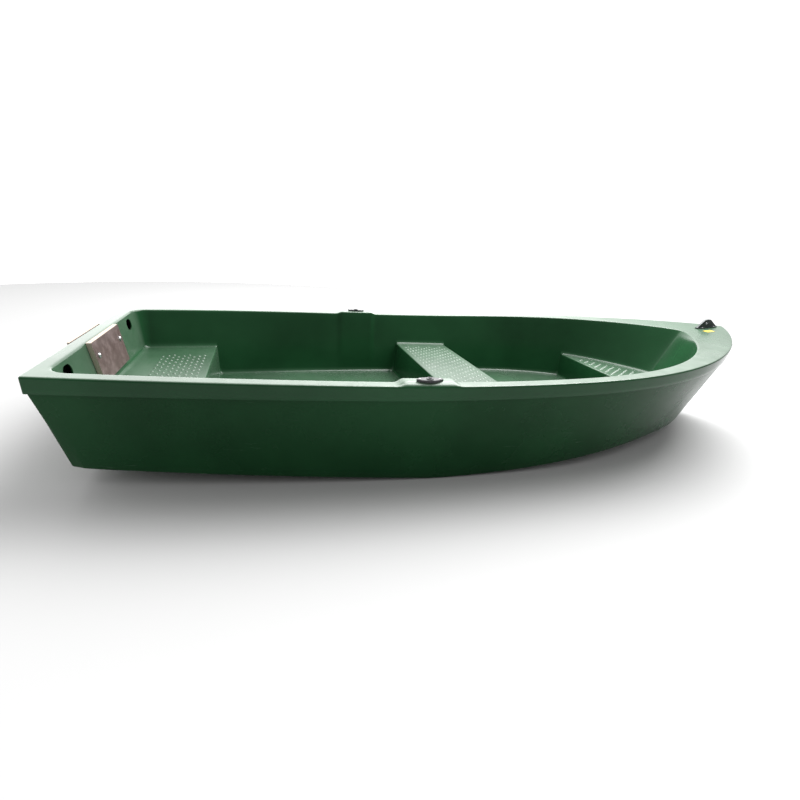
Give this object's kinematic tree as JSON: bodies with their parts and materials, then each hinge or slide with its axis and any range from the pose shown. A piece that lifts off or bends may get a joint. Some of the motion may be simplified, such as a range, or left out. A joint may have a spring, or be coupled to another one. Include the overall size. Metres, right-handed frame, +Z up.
{
  "type": "rowing boat",
  "caption": "Small moulded rowing boat with a raked flat transom, three seats, two rowlock sockets, motor pads, a bow mooring eye and a screwed transom drain plug.",
  "frame": {"origin": "centre of the bounding box in plan, at the level of the keel's foot", "axes": "+X towards the bow, +Y to port, +Z up, with the boat standing on the level after part of its keel"},
  "size_m": [3.608, 1.4436, 0.6311],
  "materials": {
    "gelcoat": "green gelcoat, glossy",
    "faced_plywood": "resin-faced plywood, satin",
    "timber": "plain",
    "stainless": "brushed",
    "black_plastic": "satin",
    "label": "printed film without any print",
    "foam": "closed-cell foam",
    "seal_rubber": "matt"
  },
  "bodies": {
    "boat": {"outer_hull": "gelcoat", "inner_liner": "gelcoat", "transom_core": "timber", "inner_motor_pad": "faced_plywood", "outer_motor_pad": "faced_plywood", "motor_pad_bolts": "stainless", "motor_pad_washers": "stainless", "motor_pad_nuts": "stainless", "rowlock_socket_port": "black_plastic", "rowlock_socket_starboard": "black_plastic", "rowlock_screws": "stainless", "rowlock_backing_blocks": "timber", "mooring_eye": "black_plastic", "mooring_eye_bolts": "stainless", "mooring_eye_backing_plate": "stainless", "mooring_eye_nuts": "stainless", "deck_label": "label", "stern_foam": "foam", "centre_foam": "foam", "bow_foam": "foam", "aft_floor_foam": "foam", "fore_floor_foam": "foam", "drain_tube": "black_plastic", "drain_socket": "black_plastic", "drain_socket_screws": "stainless"},
    "drain_seal_body": {"drain_plug_seal": "seal_rubber"},
    "drain_plug_body": {"drain_plug": "black_plastic"}
  },
  "joints": [
    {"name": "drain_plug_travel", "type": "slide", "parent": "boat", "child": "drain_seal_body", "axis": [-1, 0, 0], "range_m": [0, 0.012]},
    {"name": "drain_plug_turn", "type": "hinge", "parent": "drain_seal_body", "child": "drain_plug_body", "pos_m": [-1.7442, 0, 0.116], "axis": [-1, 0, 0], "range_deg": [0, 1440]}
  ],
  "couplings": [
    {"joint": "drain_plug_turn", "follows": "drain_plug_travel", "rad_per_m": 2094.4}
  ]
}
